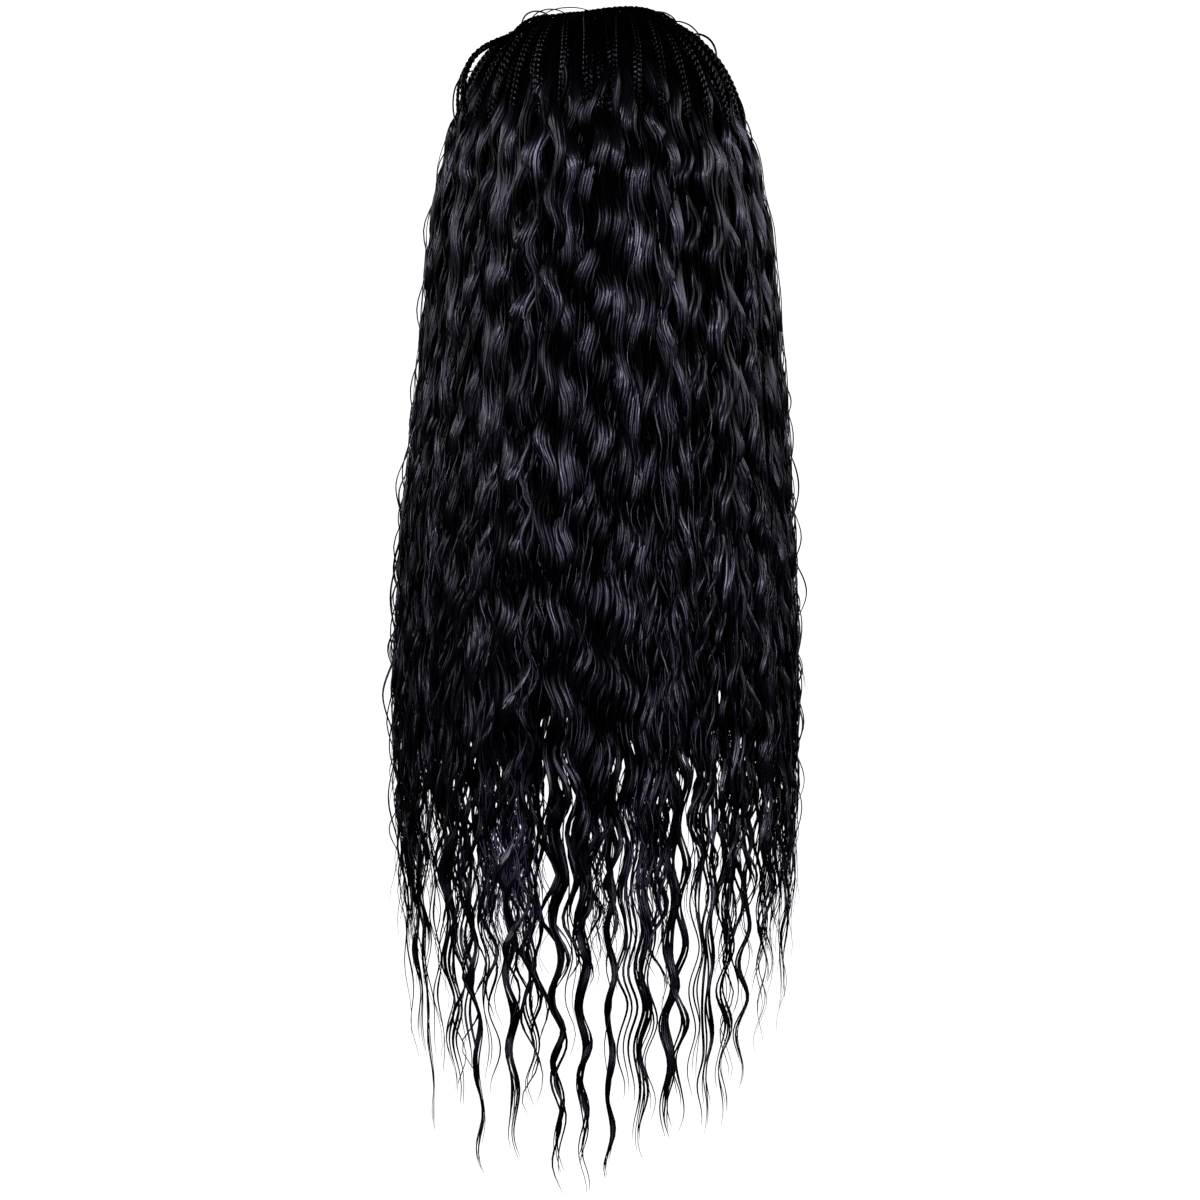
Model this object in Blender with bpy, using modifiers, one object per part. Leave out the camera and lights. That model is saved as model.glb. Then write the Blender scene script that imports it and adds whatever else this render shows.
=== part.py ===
# Long braided wig: a hollow cap, a coat of hair over it, thin braids laid over the
# coat, and loose waved hair that hangs from the braid ends and parts into tapered locks.
# Metres, +Z up. The origin is the crown point inside the cap, where the top of the
# wearer's head touches. The back of the wig faces -Y and the face opening +Y.

from math import acos, atan2, cos, degrees, pi, radians, sin

import bmesh
import bpy
from mathutils import Vector

# Driving dimensions of the cap
CAP_HALF_WIDTH = 0.079
CAP_HALF_DEPTH = 0.099
CAP_HEIGHT = 0.105
CAP_WALL = 0.0015
HEAD_FULLNESS = 0.714
FIT_GAP = 0.0004
AROUND_HEAD = 28
CROWN_PANEL_ANGLE = 42.0

# Driving dimensions of the hair
BRAID_WIDTH = 0.0082
BRAID_THICKNESS = 0.0062
BRAID_PITCH = 0.0112
COAT_AT_CROWN = 0.0078
COAT_AT_RIM = 0.0125
COAT_RIM_ANGLE = 74.0
BRAID_END_ANGLE = 77.6
WAVE_LENGTH = 0.048
WAVE_SWAY = 0.0045
WAVE_SWELL = 0.0020
RIB_PITCH_ANGLE = 12.3
RIB_DEPTH = 0.0050
SHEET_END_HEIGHT = -0.480
LOCK_ROOT_HEIGHT = -0.462
FRONT_EDGE_ANGLE = 123.0
PANEL_GAP_ANGLE = 0.24

# Half widths and depths of the hanging sheet, outside and inside, at each height
SHEET_SECTIONS = (
    # height, outer_width, outer_depth, inner_width, inner_depth
    (-0.105, 0.1080, 0.1240, 0.0822, 0.1022),
    (-0.150, 0.1128, 0.1264, 0.0836, 0.0998),
    (-0.225, 0.1185, 0.1270, 0.0910, 0.0980),
    (-0.330, 0.1255, 0.1255, 0.0998, 0.0992),
    (-0.430, 0.1285, 0.1235, 0.1055, 0.1005),
    (-0.540, 0.1265, 0.1205, 0.1095, 0.1035),
    (-0.620, 0.1240, 0.1180, 0.1100, 0.1040),
    (-0.780, 0.1160, 0.1120, 0.1040, 0.1000),
)

# How far the sheet stands off the head where it comes out from under the braid ends
SHEET_RISE = (
    # angle_down, offset
    (78.2, 0.0125),
    (80.5, 0.0195),
    (84.5, 0.0240),
    (90.0, 0.0290),
)

# Side parts of the cap, as bearings from the back
CAP_PANELS = (
    # name, first_bearing, last_bearing
    ("cap_back", -45.0, 45.0),
    ("cap_right", 45.0, 135.0),
    ("cap_front", 135.0, 225.0),
    ("cap_left", 225.0, 315.0),
)

# The lower edge of the cap, as the angle down from the crown at each bearing from the back
CAP_EDGE = (
    # bearing, angle_down
    (0.0, 121.0),
    (50.0, 117.0),
    (76.0, 100.0),
    (92.0, 95.0),
    (108.0, 103.0),
    (122.0, 92.0),
    (146.0, 70.0),
    (180.0, 62.0),
)

# Braids of one side; start and end are places on the head map, whose radius 1 is
# level with the widest part of the head, right is +, and back is +
BRAID_ROWS = (
    # start_right, start_back, end_bearing, width_share
    (0.036, 0.190, 4.5, 1.00),
    (0.104, 0.214, 14.5, 0.84),
    (0.172, 0.246, 25.0, 1.00),
    (0.236, 0.284, 36.0, 0.90),
    (0.314, 0.302, 47.5, 1.00),
    (0.036, 0.104, 60.0, 1.00),
    (0.036, 0.020, 72.5, 0.92),
    (0.036, -0.075, 85.0, 1.00),
    (0.036, -0.180, 97.0, 0.95),
    (0.036, -0.295, 108.0, 1.00),
    (0.036, -0.420, 118.0, 0.90),
    (0.036, -0.545, 127.5, 1.00),
)

# Two braids that stand off the left of the head in an arch, as on the real wig
STRAY_BRAIDS = (
    # start_right, start_back, end_bearing, lift, width_share
    (-0.052, 0.064, -66.2, 0.0115, 0.72),
    (-0.052, -0.028, -78.8, 0.0080, 0.62),
)

# Tapered locks under the sheet: bearing from the back, height of the tip, half width at the root
LOCK_TIPS = (
    # bearing, tip_height, half_width
    (-116.9, -0.622, 0.0100),
    (-104.6, -0.648, 0.0108),
    (-92.2, -0.640, 0.0112),
    (-80.0, -0.664, 0.0108),
    (-67.7, -0.684, 0.0104),
    (-55.4, -0.694, 0.0104),
    (-43.0, -0.738, 0.0106),
    (-30.7, -0.712, 0.0108),
    (-18.5, -0.726, 0.0104),
    (-6.1, -0.750, 0.0108),
    (6.1, -0.746, 0.0106),
    (18.5, -0.724, 0.0104),
    (30.7, -0.712, 0.0108),
    (43.0, -0.694, 0.0108),
    (55.4, -0.660, 0.0104),
    (67.7, -0.632, 0.0106),
    (80.0, -0.612, 0.0108),
    (92.2, -0.616, 0.0112),
    (104.6, -0.608, 0.0108),
    (116.9, -0.594, 0.0100),
)

# Parts of the waved sheet, from the wearer's left to the right, as bearings from the back
PANELS = (
    # name, first_bearing, last_bearing
    ("waves_left", -FRONT_EDGE_ANGLE, -73.8),
    ("waves_back_left", -73.8, -24.6),
    ("waves_back", -24.6, 24.6),
    ("waves_back_right", 24.6, 73.8),
    ("waves_right", 73.8, FRONT_EDGE_ANGLE),
)


def between(rows, place, column):
    """Read a column of a table, in a straight line between its rows, by its first column."""
    for low, high in zip(rows, rows[1:]):
        share = (place - low[0]) / (high[0] - low[0])
        if 0 <= share <= 1:
            return low[column] + (high[column] - low[column]) * share
    nearest = min(rows, key=lambda row: abs(row[0] - place))
    return nearest[column]


def head_point(bearing, angle_down, offset):
    """A point at a bearing from the back and an angle down from the crown, this far off the head."""
    down = radians(angle_down)
    rise = abs(cos(down)) ** HEAD_FULLNESS * (1 if cos(down) >= 0 else -1)
    reach = sin(down) ** HEAD_FULLNESS
    return Vector(
        (
            (CAP_HALF_WIDTH + offset) * reach * sin(radians(bearing)),
            -(CAP_HALF_DEPTH + offset) * reach * cos(radians(bearing)),
            -CAP_HEIGHT + (CAP_HEIGHT + offset) * rise,
        )
    )


def map_point(right, back, offset):
    """A point of the flat head map, this far off the head."""
    radius = max((right * right + back * back) ** 0.5, 1e-6)
    bearing = degrees(acos(max(-1.0, min(1.0, back / radius))))
    return head_point(bearing if right >= 0 else -bearing, 90 * radius, offset)


def coat_thickness(angle_down):
    """How far the coat of hair stands off the head at an angle down from the crown."""
    share = min(1.0, angle_down / COAT_RIM_ANGLE)
    return COAT_AT_CROWN + (COAT_AT_RIM - COAT_AT_CROWN) * share**2


def coat_edge(bearing):
    """Angle down to the coat's lower edge: level at the back and sides, up to the hairline in front."""
    share = min(1.0, max(0.0, (abs(bearing) - 116) / 52))
    return COAT_RIM_ANGLE - 16 * share * share * (3 - 2 * share)


def material(name, colour, roughness):
    made = bpy.data.materials.new(name)
    made.use_nodes = True
    shader = made.node_tree.nodes["Principled BSDF"]
    shader.inputs["Base Color"].default_value = (*colour, 1)
    shader.inputs["Roughness"].default_value = roughness
    shader.inputs["Metallic"].default_value = 0
    return made


def collection(name):
    made = bpy.data.collections.new(name)
    bpy.context.scene.collection.children.link(made)
    return made


def add_object(name, mesh, finish, group):
    made = bpy.data.objects.new(name, mesh)
    made.data.materials.append(finish)
    group.objects.link(made)
    return made


def loft(name, rings, finish, group, end_faces=None):
    """A closed solid through rings of points, whose ends are one face each or the faces named."""
    shape = bmesh.new()
    rows = [[shape.verts.new(point) for point in ring] for ring in rings]
    count = len(rows[0])
    for low, high in zip(rows, rows[1:]):
        for i in range(count):
            j = (i + 1) % count
            shape.faces.new((low[i], low[j], high[j], high[i]))
    for row in (rows[0], rows[-1]):
        for face in end_faces or [range(count)]:
            shape.faces.new([row[i] for i in face])
    bmesh.ops.recalc_face_normals(shape, faces=shape.faces)
    mesh = bpy.data.meshes.new(name)
    shape.to_mesh(mesh)
    shape.free()
    mesh.shade_smooth()
    mesh.set_sharp_from_angle(angle=radians(50))
    return add_object(name, mesh, finish, group)


def add_wall(made):
    """Give an open surface on the head its thickness, outwards."""
    wall = made.modifiers.new("wall", "SOLIDIFY")
    wall.thickness = CAP_WALL
    wall.offset = 1
    wall.use_even_offset = True


def finish_cap_part(name, shape, finish, group):
    mesh = bpy.data.meshes.new(name)
    shape.to_mesh(mesh)
    shape.free()
    mesh.shade_smooth()
    add_wall(add_object(name, mesh, finish, group))


def make_cap_crown(finish, group):
    """The shallow top of the cap: the upper half of a sphere, laid on the head."""
    shape = bmesh.new()
    bmesh.ops.create_uvsphere(shape, u_segments=AROUND_HEAD, v_segments=6, radius=1)
    lower = [v for v in shape.verts if v.co.z < -1e-4]
    bmesh.ops.delete(shape, geom=lower, context="VERTS")
    for vertex in shape.verts:
        share = acos(max(-1.0, min(1.0, vertex.co.z))) / (pi / 2)
        bearing = degrees(atan2(vertex.co.x, -vertex.co.y))
        vertex.co = head_point(bearing, share * CROWN_PANEL_ANGLE, 0)
    finish_cap_part("cap_crown", shape, finish, group)


def make_cap_panel(name, first, last, finish, group):
    """One side of the cap, from the crown part down to the cap's edge: a grid laid on the head."""
    shape = bmesh.new()
    bmesh.ops.create_grid(shape, x_segments=AROUND_HEAD // 4, y_segments=4, size=0.5)
    gap = degrees(FIT_GAP / (2 * CAP_HALF_WIDTH))
    top = CROWN_PANEL_ANGLE + 2 * gap
    for vertex in shape.verts:
        bearing = first + gap + (last - first - 2 * gap) * (vertex.co.x + 0.5)
        around = bearing if bearing <= 180 else 360 - bearing
        edge = between(CAP_EDGE, abs(around), 1)
        vertex.co = head_point(bearing, edge + (top - edge) * (vertex.co.y + 0.5), 0)
    finish_cap_part(name, shape, finish, group)


def make_coat(finish, group):
    """The coat of hair over the cap: rings down its outside, then back up its inside."""
    down, first = 6, 3.5
    inner_offset = CAP_WALL + 3 * FIT_GAP
    bearings = [360 * i / AROUND_HEAD - 180 for i in range(AROUND_HEAD)]

    def ring(share, offset_of):
        points = []
        for bearing in bearings:
            angle = first + (coat_edge(bearing) - first) * share
            points.append(head_point(bearing, angle, offset_of(angle)))
        return points

    outside = [ring(i / down, coat_thickness) for i in range(down + 1)]
    inside = [ring(i / down, lambda angle: inner_offset) for i in range(down, -1, -1)]
    return loft("crown_hair", outside + inside, finish, group)


def braid_path(start, end, steps, lift):
    """Places down a braid and the way out from the head at each, straight on the head map."""
    places = []
    for i in range(steps + 1):
        share = i / steps
        right = start[0] + (end[0] - start[0]) * share
        back = start[1] + (end[1] - start[1]) * share
        radius = (right * right + back * back) ** 0.5
        offset = coat_thickness(90 * radius) + FIT_GAP + lift * sin(pi * share) ** 0.8
        low, high = map_point(right, back, offset), map_point(right, back, offset + 0.01)
        places.append((low, (high - low).normalized()))
    return places


def make_braid(name, start, end_bearing, share, lift, finish, group):
    """A flattened braid with a bulge to each side in turn, lying on the coat of hair."""
    end_radius = BRAID_END_ANGLE / 90
    end = (end_radius * sin(radians(end_bearing)), end_radius * cos(radians(end_bearing)))
    rough = braid_path(start, end, 8, lift)
    length = sum((b[0] - a[0]).length for a, b in zip(rough, rough[1:]))
    steps = max(6, round(length / BRAID_PITCH))
    places = braid_path(start, end, steps, lift)
    width, thickness = BRAID_WIDTH * share, BRAID_THICKNESS * share
    rings = []
    for i, (place, outward) in enumerate(places):
        before, after = places[max(0, i - 1)][0], places[min(steps, i + 1)][0]
        along = (after - before).normalized()
        side = along.cross(outward).normalized()
        end_taper = 0.62 if i in (0, steps) else 1.0
        middle = place + outward * thickness * end_taper / 2
        middle += side * (0.10 * width * (-1) ** i)
        ring = []
        for k in range(5):
            turn = 2 * pi * k / 5 + pi / 2
            across = side * cos(turn) * width * 0.44 * end_taper
            out = outward * (sin(turn) - 0.1) * thickness * 0.54 * end_taper
            ring.append(middle + across + out)
        rings.append(ring)
    return loft(name, rings, finish, group)


def sheet_point(bearing, height, depth):
    """A point of the hanging sheet, this deep inside its outer face."""
    turn = radians(bearing)
    half_width = between(SHEET_SECTIONS, height, 1) - depth
    half_depth = between(SHEET_SECTIONS, height, 2) - depth
    return Vector((half_width * sin(turn), -half_depth * cos(turn), height))


def lining_point(bearing, height):
    """A point of the hanging sheet's inner face."""
    turn = radians(bearing)
    half_width = between(SHEET_SECTIONS, height, 3)
    half_depth = between(SHEET_SECTIONS, height, 4)
    return Vector((half_width * sin(turn), -half_depth * cos(turn), height))


def wave_phase(bearing):
    """Where in its wave the hair is at a bearing, so that neighbours sway nearly together."""
    return 0.9 * sin(radians(2.6 * bearing))


def sway(bearing, height, column=2):
    """Sideways shift of the hair, as an angle; the column picks the outer or the inner face."""
    swing = sin(2 * pi * height / WAVE_LENGTH + wave_phase(bearing))
    return degrees(WAVE_SWAY * swing / between(SHEET_SECTIONS, height, column))


def swell(bearing, height):
    """How far the hair stands out from or falls back behind its mean surface."""
    return WAVE_SWELL * cos(2 * pi * height / WAVE_LENGTH + wave_phase(bearing))


def panel_levels():
    """Stations down a panel: angles on the head first, then heights under it."""
    on_head = [("angle", COAT_RIM_ANGLE + 0.5)] + [("angle", row[0]) for row in SHEET_RISE[:-1]]
    drop = -CAP_HEIGHT - SHEET_END_HEIGHT
    count = round(drop / (WAVE_LENGTH / 3))
    hanging = [("height", -CAP_HEIGHT - drop * i / count) for i in range(count + 1)]
    return on_head + hanging


def panel_ring(station, bearings, ribs):
    """Outer points with ribs, then the inner points back again."""
    kind, value = station
    outer, inner = [], []
    if kind == "angle":
        rise = between(SHEET_RISE, value, 1)
        groove = RIB_DEPTH * (rise - COAT_AT_RIM) / (SHEET_RISE[-1][1] - COAT_AT_RIM)
        for bearing, rib in zip(bearings, ribs):
            outer.append(head_point(bearing, value, rise - groove * (1 - rib)))
        for bearing in bearings[::-3]:
            inner.append(head_point(bearing, value, CAP_WALL + 2 * FIT_GAP))
        return outer + inner
    fade = min(1.0, (-CAP_HEIGHT - value) / 0.03)
    for bearing, rib in zip(bearings, ribs):
        depth = RIB_DEPTH * (1 - rib) - swell(bearing, value) * fade
        outer.append(sheet_point(bearing + sway(bearing, value) * fade, value, depth))
    for bearing in bearings[::-3]:
        inner.append(lining_point(bearing + sway(bearing, value, 4) * fade, value))
    return outer + inner


def make_panel(name, first, last, finish, group):
    """One part of the waved sheet, with a rib for each lock."""
    locks = round((last - first) / RIB_PITCH_ANGLE)
    count = locks * 3
    first, last = first + PANEL_GAP_ANGLE, last - PANEL_GAP_ANGLE
    bearings = [first + (last - first) * i / count for i in range(count + 1)]
    ribs = [0.0 if i % 3 == 0 else 1.0 for i in range(count + 1)]
    rings = [panel_ring(station, bearings, ribs) for station in panel_levels()]
    points = len(rings[0])
    end_faces = [
        (3 * i, 3 * i + 1, 3 * i + 2, 3 * i + 3, points - 2 - i, points - 1 - i)
        for i in range(locks)
    ]
    return loft(name, rings, finish, group, end_faces)


def make_lock(name, bearing, tip_height, half_width, finish, group):
    """A tapered, waved lock that starts inside the sheet and hangs to a point."""
    drop = LOCK_ROOT_HEIGHT - tip_height
    steps = round(drop / (WAVE_LENGTH / 3))
    sides = 5
    rings = []
    for i in range(steps + 1):
        share = i / steps
        height = LOCK_ROOT_HEIGHT - drop * share
        taper = 0.06 + 0.94 * (1 - share) ** 0.75
        thickness = between(SHEET_SECTIONS, height, 1) - between(SHEET_SECTIONS, height, 3)
        depth = thickness * 0.5 - 1.2 * swell(bearing, height)
        middle = sheet_point(bearing + 1.15 * sway(bearing, height), height, depth)
        outward = sheet_point(bearing, height, 0) - sheet_point(bearing, height, 0.01)
        outward.normalize()
        side = Vector((0, 0, 1)).cross(outward)
        ring = []
        for k in range(sides):
            turn = 2 * pi * k / sides
            across = side * cos(turn) * half_width * taper
            out = outward * sin(turn) * half_width * 0.62 * taper
            ring.append(middle + across + out)
        rings.append(ring)
    made = loft(name, rings, finish, group)
    made.hide_render = True
    made.display_type = "WIRE"
    return made


def fuse(panel, locks):
    """Join a panel's locks to it in one solid."""
    join = panel.modifiers.new("locks", "BOOLEAN")
    join.operation = "UNION"
    join.operand_type = "COLLECTION"
    join.collection = locks
    join.solver = "EXACT"


def main():
    for old in list(bpy.data.objects):
        bpy.data.objects.remove(old)
    wig = collection("braid_wig")
    cap_lace = material("cap_lace", (0.012, 0.011, 0.013), 0.80)
    braided_hair = material("braided_hair", (0.010, 0.009, 0.012), 0.40)
    waved_hair = material("waved_hair", (0.012, 0.011, 0.016), 0.42)

    make_cap_crown(cap_lace, wig)
    for name, first, last in CAP_PANELS:
        make_cap_panel(name, first, last, cap_lace, wig)
    make_coat(waved_hair, wig)
    for side, word in ((-1, "left"), (1, "right")):
        for i, row in enumerate(BRAID_ROWS):
            start_right, start_back, end_bearing, share = row
            start = (side * start_right, start_back)
            name = f"braid_{word}_{i + 1}"
            make_braid(name, start, side * end_bearing, share, 0.0, braided_hair, wig)
    for i, row in enumerate(STRAY_BRAIDS):
        start_right, start_back, end_bearing, lift, share = row
        name = f"stray_braid_{i + 1}"
        make_braid(name, (start_right, start_back), end_bearing, share, lift, braided_hair, wig)
    for name, first, last in PANELS:
        panel = make_panel(name, first, last, waved_hair, wig)
        locks = collection(f"locks_of_{name}")
        for i, (bearing, tip_height, half_width) in enumerate(LOCK_TIPS):
            if first < bearing < last:
                lock = f"lock_{i + 1}"
                make_lock(lock, bearing, tip_height, half_width, waved_hair, locks)
        fuse(panel, locks)


main()
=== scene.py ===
# Long braided wig: three-strand braids over a net cap, waved hair hanging from them.
# Metres, +Z up. The back of the wig faces -Y, the face opening +Y, and the origin is
# the crown point inside the cap.

import bpy
import numpy as np
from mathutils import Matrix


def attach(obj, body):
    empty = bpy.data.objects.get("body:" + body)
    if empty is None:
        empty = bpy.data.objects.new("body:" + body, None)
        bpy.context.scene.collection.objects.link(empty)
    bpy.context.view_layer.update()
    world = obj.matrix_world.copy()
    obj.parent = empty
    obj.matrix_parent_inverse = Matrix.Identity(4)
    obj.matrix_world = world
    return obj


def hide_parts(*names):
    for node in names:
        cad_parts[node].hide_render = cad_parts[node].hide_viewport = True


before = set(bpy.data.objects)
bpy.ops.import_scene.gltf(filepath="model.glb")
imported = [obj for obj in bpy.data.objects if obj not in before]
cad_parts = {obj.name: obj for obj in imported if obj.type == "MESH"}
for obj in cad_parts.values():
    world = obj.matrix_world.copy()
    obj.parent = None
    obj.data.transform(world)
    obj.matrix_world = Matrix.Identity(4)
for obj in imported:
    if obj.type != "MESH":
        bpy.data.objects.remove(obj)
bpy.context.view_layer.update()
print("frame loaded:", len(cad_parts), "nodes")

# The head's form, and how far the hair's outer face stands off it by angle down from the crown
headForm = {
    "halfWidth": 0.079,
    "halfDepth": 0.099,
    "height": 0.105,
    "fullness": 0.714,
    "angles": (0, 20, 35, 49, 60, 68, 75, 80, 85, 90),
    "offsets": (0.0145, 0.0150, 0.0146, 0.0142, 0.0156, 0.0176, 0.0196, 0.0222, 0.0252, 0.0285),
}

# Outer half widths and half depths of the hanging hair by how far it is below the head's widest
hangForm = {
    "drops": (0.0, 0.020, 0.045, 0.120, 0.225, 0.325, 0.435, 0.515, 0.675),
    "halfWidths": (0.1080, 0.1126, 0.1158, 0.1214, 0.1276, 0.1300, 0.1280, 0.1244, 0.1155),
    "halfDepths": (0.1272, 0.1272, 0.1272, 0.1272, 0.1258, 0.1238, 0.1208, 0.1180, 0.1120),
    "leftSwell": (0.0, -0.0005, -0.0020, -0.0015, 0.0030, 0.0055, 0.0045, 0.0030, 0.0010),
}


# A point of the head pushed outwards: a rounded box, x = a sin^k(down) sin(bearing),
# y = -b sin^k(down) cos(bearing), z = h (cos^k(down) - 1), each half axis grown by the offset
def headPoint(bearing, angle, offset):
    turn, down = np.radians(bearing), np.radians(angle)
    power = headForm["fullness"]
    reach = np.abs(np.sin(down)) ** power
    rise = np.sign(np.cos(down)) * np.abs(np.cos(down)) ** power
    x = (headForm["halfWidth"] + offset) * reach * np.sin(turn)
    y = -(headForm["halfDepth"] + offset) * reach * np.cos(turn)
    z = -headForm["height"] + (headForm["height"] + offset) * rise
    return np.stack(np.broadcast_arrays(x, y, z), axis=-1)


# Length run down the back from the head's widest line: negative up to the crown
meridianAngles = 90 * np.linspace(0, 1, 400) ** 1.6  # closest together at the crown
meridianOffsets = np.interp(meridianAngles, headForm["angles"], headForm["offsets"])
meridian = headPoint(0.0, meridianAngles, meridianOffsets)
meridianRuns = np.concatenate([[0], np.cumsum(np.linalg.norm(np.diff(meridian, axis=0), axis=1))])
meridianRuns -= meridianRuns[-1]


def runAtAngle(angle):
    return np.interp(angle, meridianAngles, meridianRuns)


# A point of the hair: on the head above run 0, and under it on a hanging tube of
# elliptic section. Depth is how far it lies inside the outer face.
def hairPoint(bearing, run, depth):
    bearing, run, depth = np.broadcast_arrays(bearing, run, depth)
    angle = np.interp(run, meridianRuns, meridianAngles)
    offset = np.interp(angle, headForm["angles"], headForm["offsets"]) - depth
    onHead = headPoint(bearing, angle, offset)
    drop = np.maximum(run, 0)
    turn = np.radians(bearing)
    wide = np.interp(drop, hangForm["drops"], hangForm["halfWidths"]) - depth
    wide = wide + np.interp(drop, hangForm["drops"], hangForm["leftSwell"]) * (np.sin(turn) < 0)
    deep = np.interp(drop, hangForm["drops"], hangForm["halfDepths"]) - depth
    hanging = np.stack([wide * np.sin(turn), -deep * np.cos(turn), -headForm["height"] - drop], axis=-1)
    return np.where((run < 0)[..., None], onHead, hanging)


def unit(vectors):
    return vectors / np.maximum(np.linalg.norm(vectors, axis=-1, keepdims=True), 1e-9)


def easeIn(values, low, high):
    share = np.clip((values - low) / (high - low), 0, 1)
    return share * share * (3 - 2 * share)


def placed(name, data):
    made = bpy.data.objects.new(name, data)
    bpy.context.scene.collection.objects.link(made)
    return made


def setInputs(node, values):
    for name, value in values.items():
        node.inputs[name].default_value = value


# A new material with its nodes, its links and its shader
def newMaterial(name):
    made = bpy.data.materials.new(name)
    made.use_nodes = True
    tree = made.node_tree
    return made, tree.nodes, tree.links, tree.nodes["Principled BSDF"]


# UVs of the corners of quads, each corner a pair of arrays with one number for each quad
def cornerUvs(*corners):
    return np.stack([np.stack(corner, axis=-1) for corner in corners], axis=-2).reshape(-1, 4, 2)


# Puts points, quads and triangles into a mesh, with a UV for every corner and, for each point, a tone that
# holds painted shade and painted light as well as its own random tone
def meshFrom(name, points, quads, quadUvs, quadSmooth, tris, triUvs, tones, material):
    mesh = bpy.data.meshes.new(name)
    mesh.vertices.add(len(points))
    mesh.vertices.foreach_set("co", points.astype(np.float32).ravel())
    corners = np.concatenate([quads.ravel(), tris.ravel()]).astype(np.int32)
    mesh.loops.add(len(corners))
    mesh.loops.foreach_set("vertex_index", corners)
    starts = np.concatenate([np.arange(len(quads)) * 4, len(quads) * 4 + np.arange(len(tris)) * 3])
    mesh.polygons.add(len(starts))
    mesh.polygons.foreach_set("loop_start", starts.astype(np.int32))
    mesh.polygons.foreach_set("use_smooth", np.concatenate([quadSmooth, np.ones(len(tris), dtype=bool)]))
    uvs = mesh.uv_layers.new(name="hairUv")
    cornerPairs = np.concatenate([quadUvs.reshape(-1, 2), triUvs.reshape(-1, 2)])
    uvs.data.foreach_set("uv", cornerPairs.astype(np.float32).ravel())
    # each point's own tone together with the painted shade and painted light laid on it
    toneAndShade = mesh.attributes.new("toneAndShade", "FLOAT", "POINT")
    toneAndShade.data.foreach_set("value", tones.astype(np.float32).ravel())
    mesh.update(calc_edges=True)
    mesh.validate()
    mesh.materials.append(material)
    return placed(name, mesh)


# Section outlines as shares of half width (sideways) and half thickness (outwards)
def roundSection(sides):
    turn = 2 * np.pi * np.arange(sides) / sides
    return np.stack([np.cos(turn), np.sin(turn)], axis=-1)


leafSection = np.array([[1.0, -0.35], [0.0, 1.0], [-1.0, -0.35]])  # its last face, the inner one, stays flat


tubeForm = {
    "tipReach": 0.4,  # how far the end points stand off the end rings, of a ring's step
    "streakStep": 1.731,  # sideways in the streaks from one strand to the next
}


# Closed tubes along many paths at once: centres is strands x rings x 3, each ring is the
# section spread along side and out, and both ends close at a point
def tubes(centres, side, out, halfWidth, halfThickness, section, tones):
    strands, rings = centres.shape[:2]
    sides = len(section)
    ring = (
        centres[:, :, None]
        + side[:, :, None] * (section[None, None, :, 0:1] * halfWidth[:, :, None, None])
        + out[:, :, None] * (section[None, None, :, 1:2] * halfThickness[:, :, None, None])
    )
    along = np.diff(centres, axis=1)
    reach = tubeForm["tipReach"]
    ends = np.stack([centres[:, 0] - reach * along[:, 0], centres[:, -1] + reach * along[:, -1]], axis=1)
    perStrand = rings * sides + 2
    points = np.concatenate([ring.reshape(strands, -1, 3), ends], axis=1).reshape(-1, 3)

    n = np.arange(strands)[:, None, None] * perStrand
    r = np.arange(rings - 1)[None, :, None] * sides
    s = np.arange(sides)[None, None, :]
    a, b = n + r + s, n + r + (s + 1) % sides
    quads = np.stack([a, b, b + sides, a + sides], axis=-1).reshape(-1, 4)
    steps = np.linalg.norm(along, axis=2)
    length = np.concatenate([np.zeros((strands, 1)), np.cumsum(steps, axis=1)], axis=1)
    number = np.arange(strands)[:, None, None] * tubeForm["streakStep"]
    u0 = np.broadcast_to(number + s / sides, (strands, rings - 1, sides))
    u1 = u0 + 1 / sides
    v0 = np.broadcast_to(length[:, :-1, None], u0.shape)
    v1 = np.broadcast_to(length[:, 1:, None], u0.shape)
    quadUvs = cornerUvs((u0, v0), (u1, v0), (u1, v1), (u0, v1))

    n, s = n[:, 0], s[0]
    following = (s + 1) % sides
    lastRing, root = n + (rings - 1) * sides, n + rings * sides
    shape = (strands, sides)
    top = np.stack([np.broadcast_to(root, shape), n + following, n + s], axis=-1)
    foot = np.stack([np.broadcast_to(root + 1, shape), lastRing + s, lastRing + following], axis=-1)
    tris = np.concatenate([top.reshape(-1, 3), foot.reshape(-1, 3)])
    triU = np.broadcast_to(number[:, :, 0] + s / sides, shape)
    capUvs = [np.stack([triU, np.broadcast_to(v, shape)], axis=-1) for v in (0.0, length[:, -1:])]
    triUvs = np.repeat(np.concatenate(capUvs).reshape(-1, 1, 2), 3, axis=1)
    ringTones = np.broadcast_to(tones[:, None] if tones.ndim == 1 else tones, (strands, rings))
    pointTones = np.concatenate([np.repeat(ringTones, sides, axis=1), ringTones[:, [0, -1]]], axis=1).ravel()
    smooth = np.tile(np.arange(sides) != (2 if sides == 3 else sides), strands * (rings - 1))
    return points, quads, quadUvs, smooth, tris, triUvs, pointTones


def joinTubes(parts):
    start, joined = 0, [[] for _ in range(7)]
    for points, quads, quadUvs, smooth, tris, triUvs, tones in parts:
        for kept, piece in zip(joined, (points, quads + start, quadUvs, smooth, tris + start, triUvs, tones)):
            kept.append(piece)
        start += len(points)
    return [np.concatenate(kept) for kept in joined]


# Turns the section's side and out directions square to the path, then twists them about it
def squareFrame(centres, out, twist):
    along = unit(np.gradient(centres, axis=1))
    out = unit(out - along * np.sum(out * along, axis=-1, keepdims=True))
    side = np.cross(out, along)
    c, s = np.cos(twist)[..., None], np.sin(twist)[..., None]
    return side * c + out * s, out * c - side * s


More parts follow.
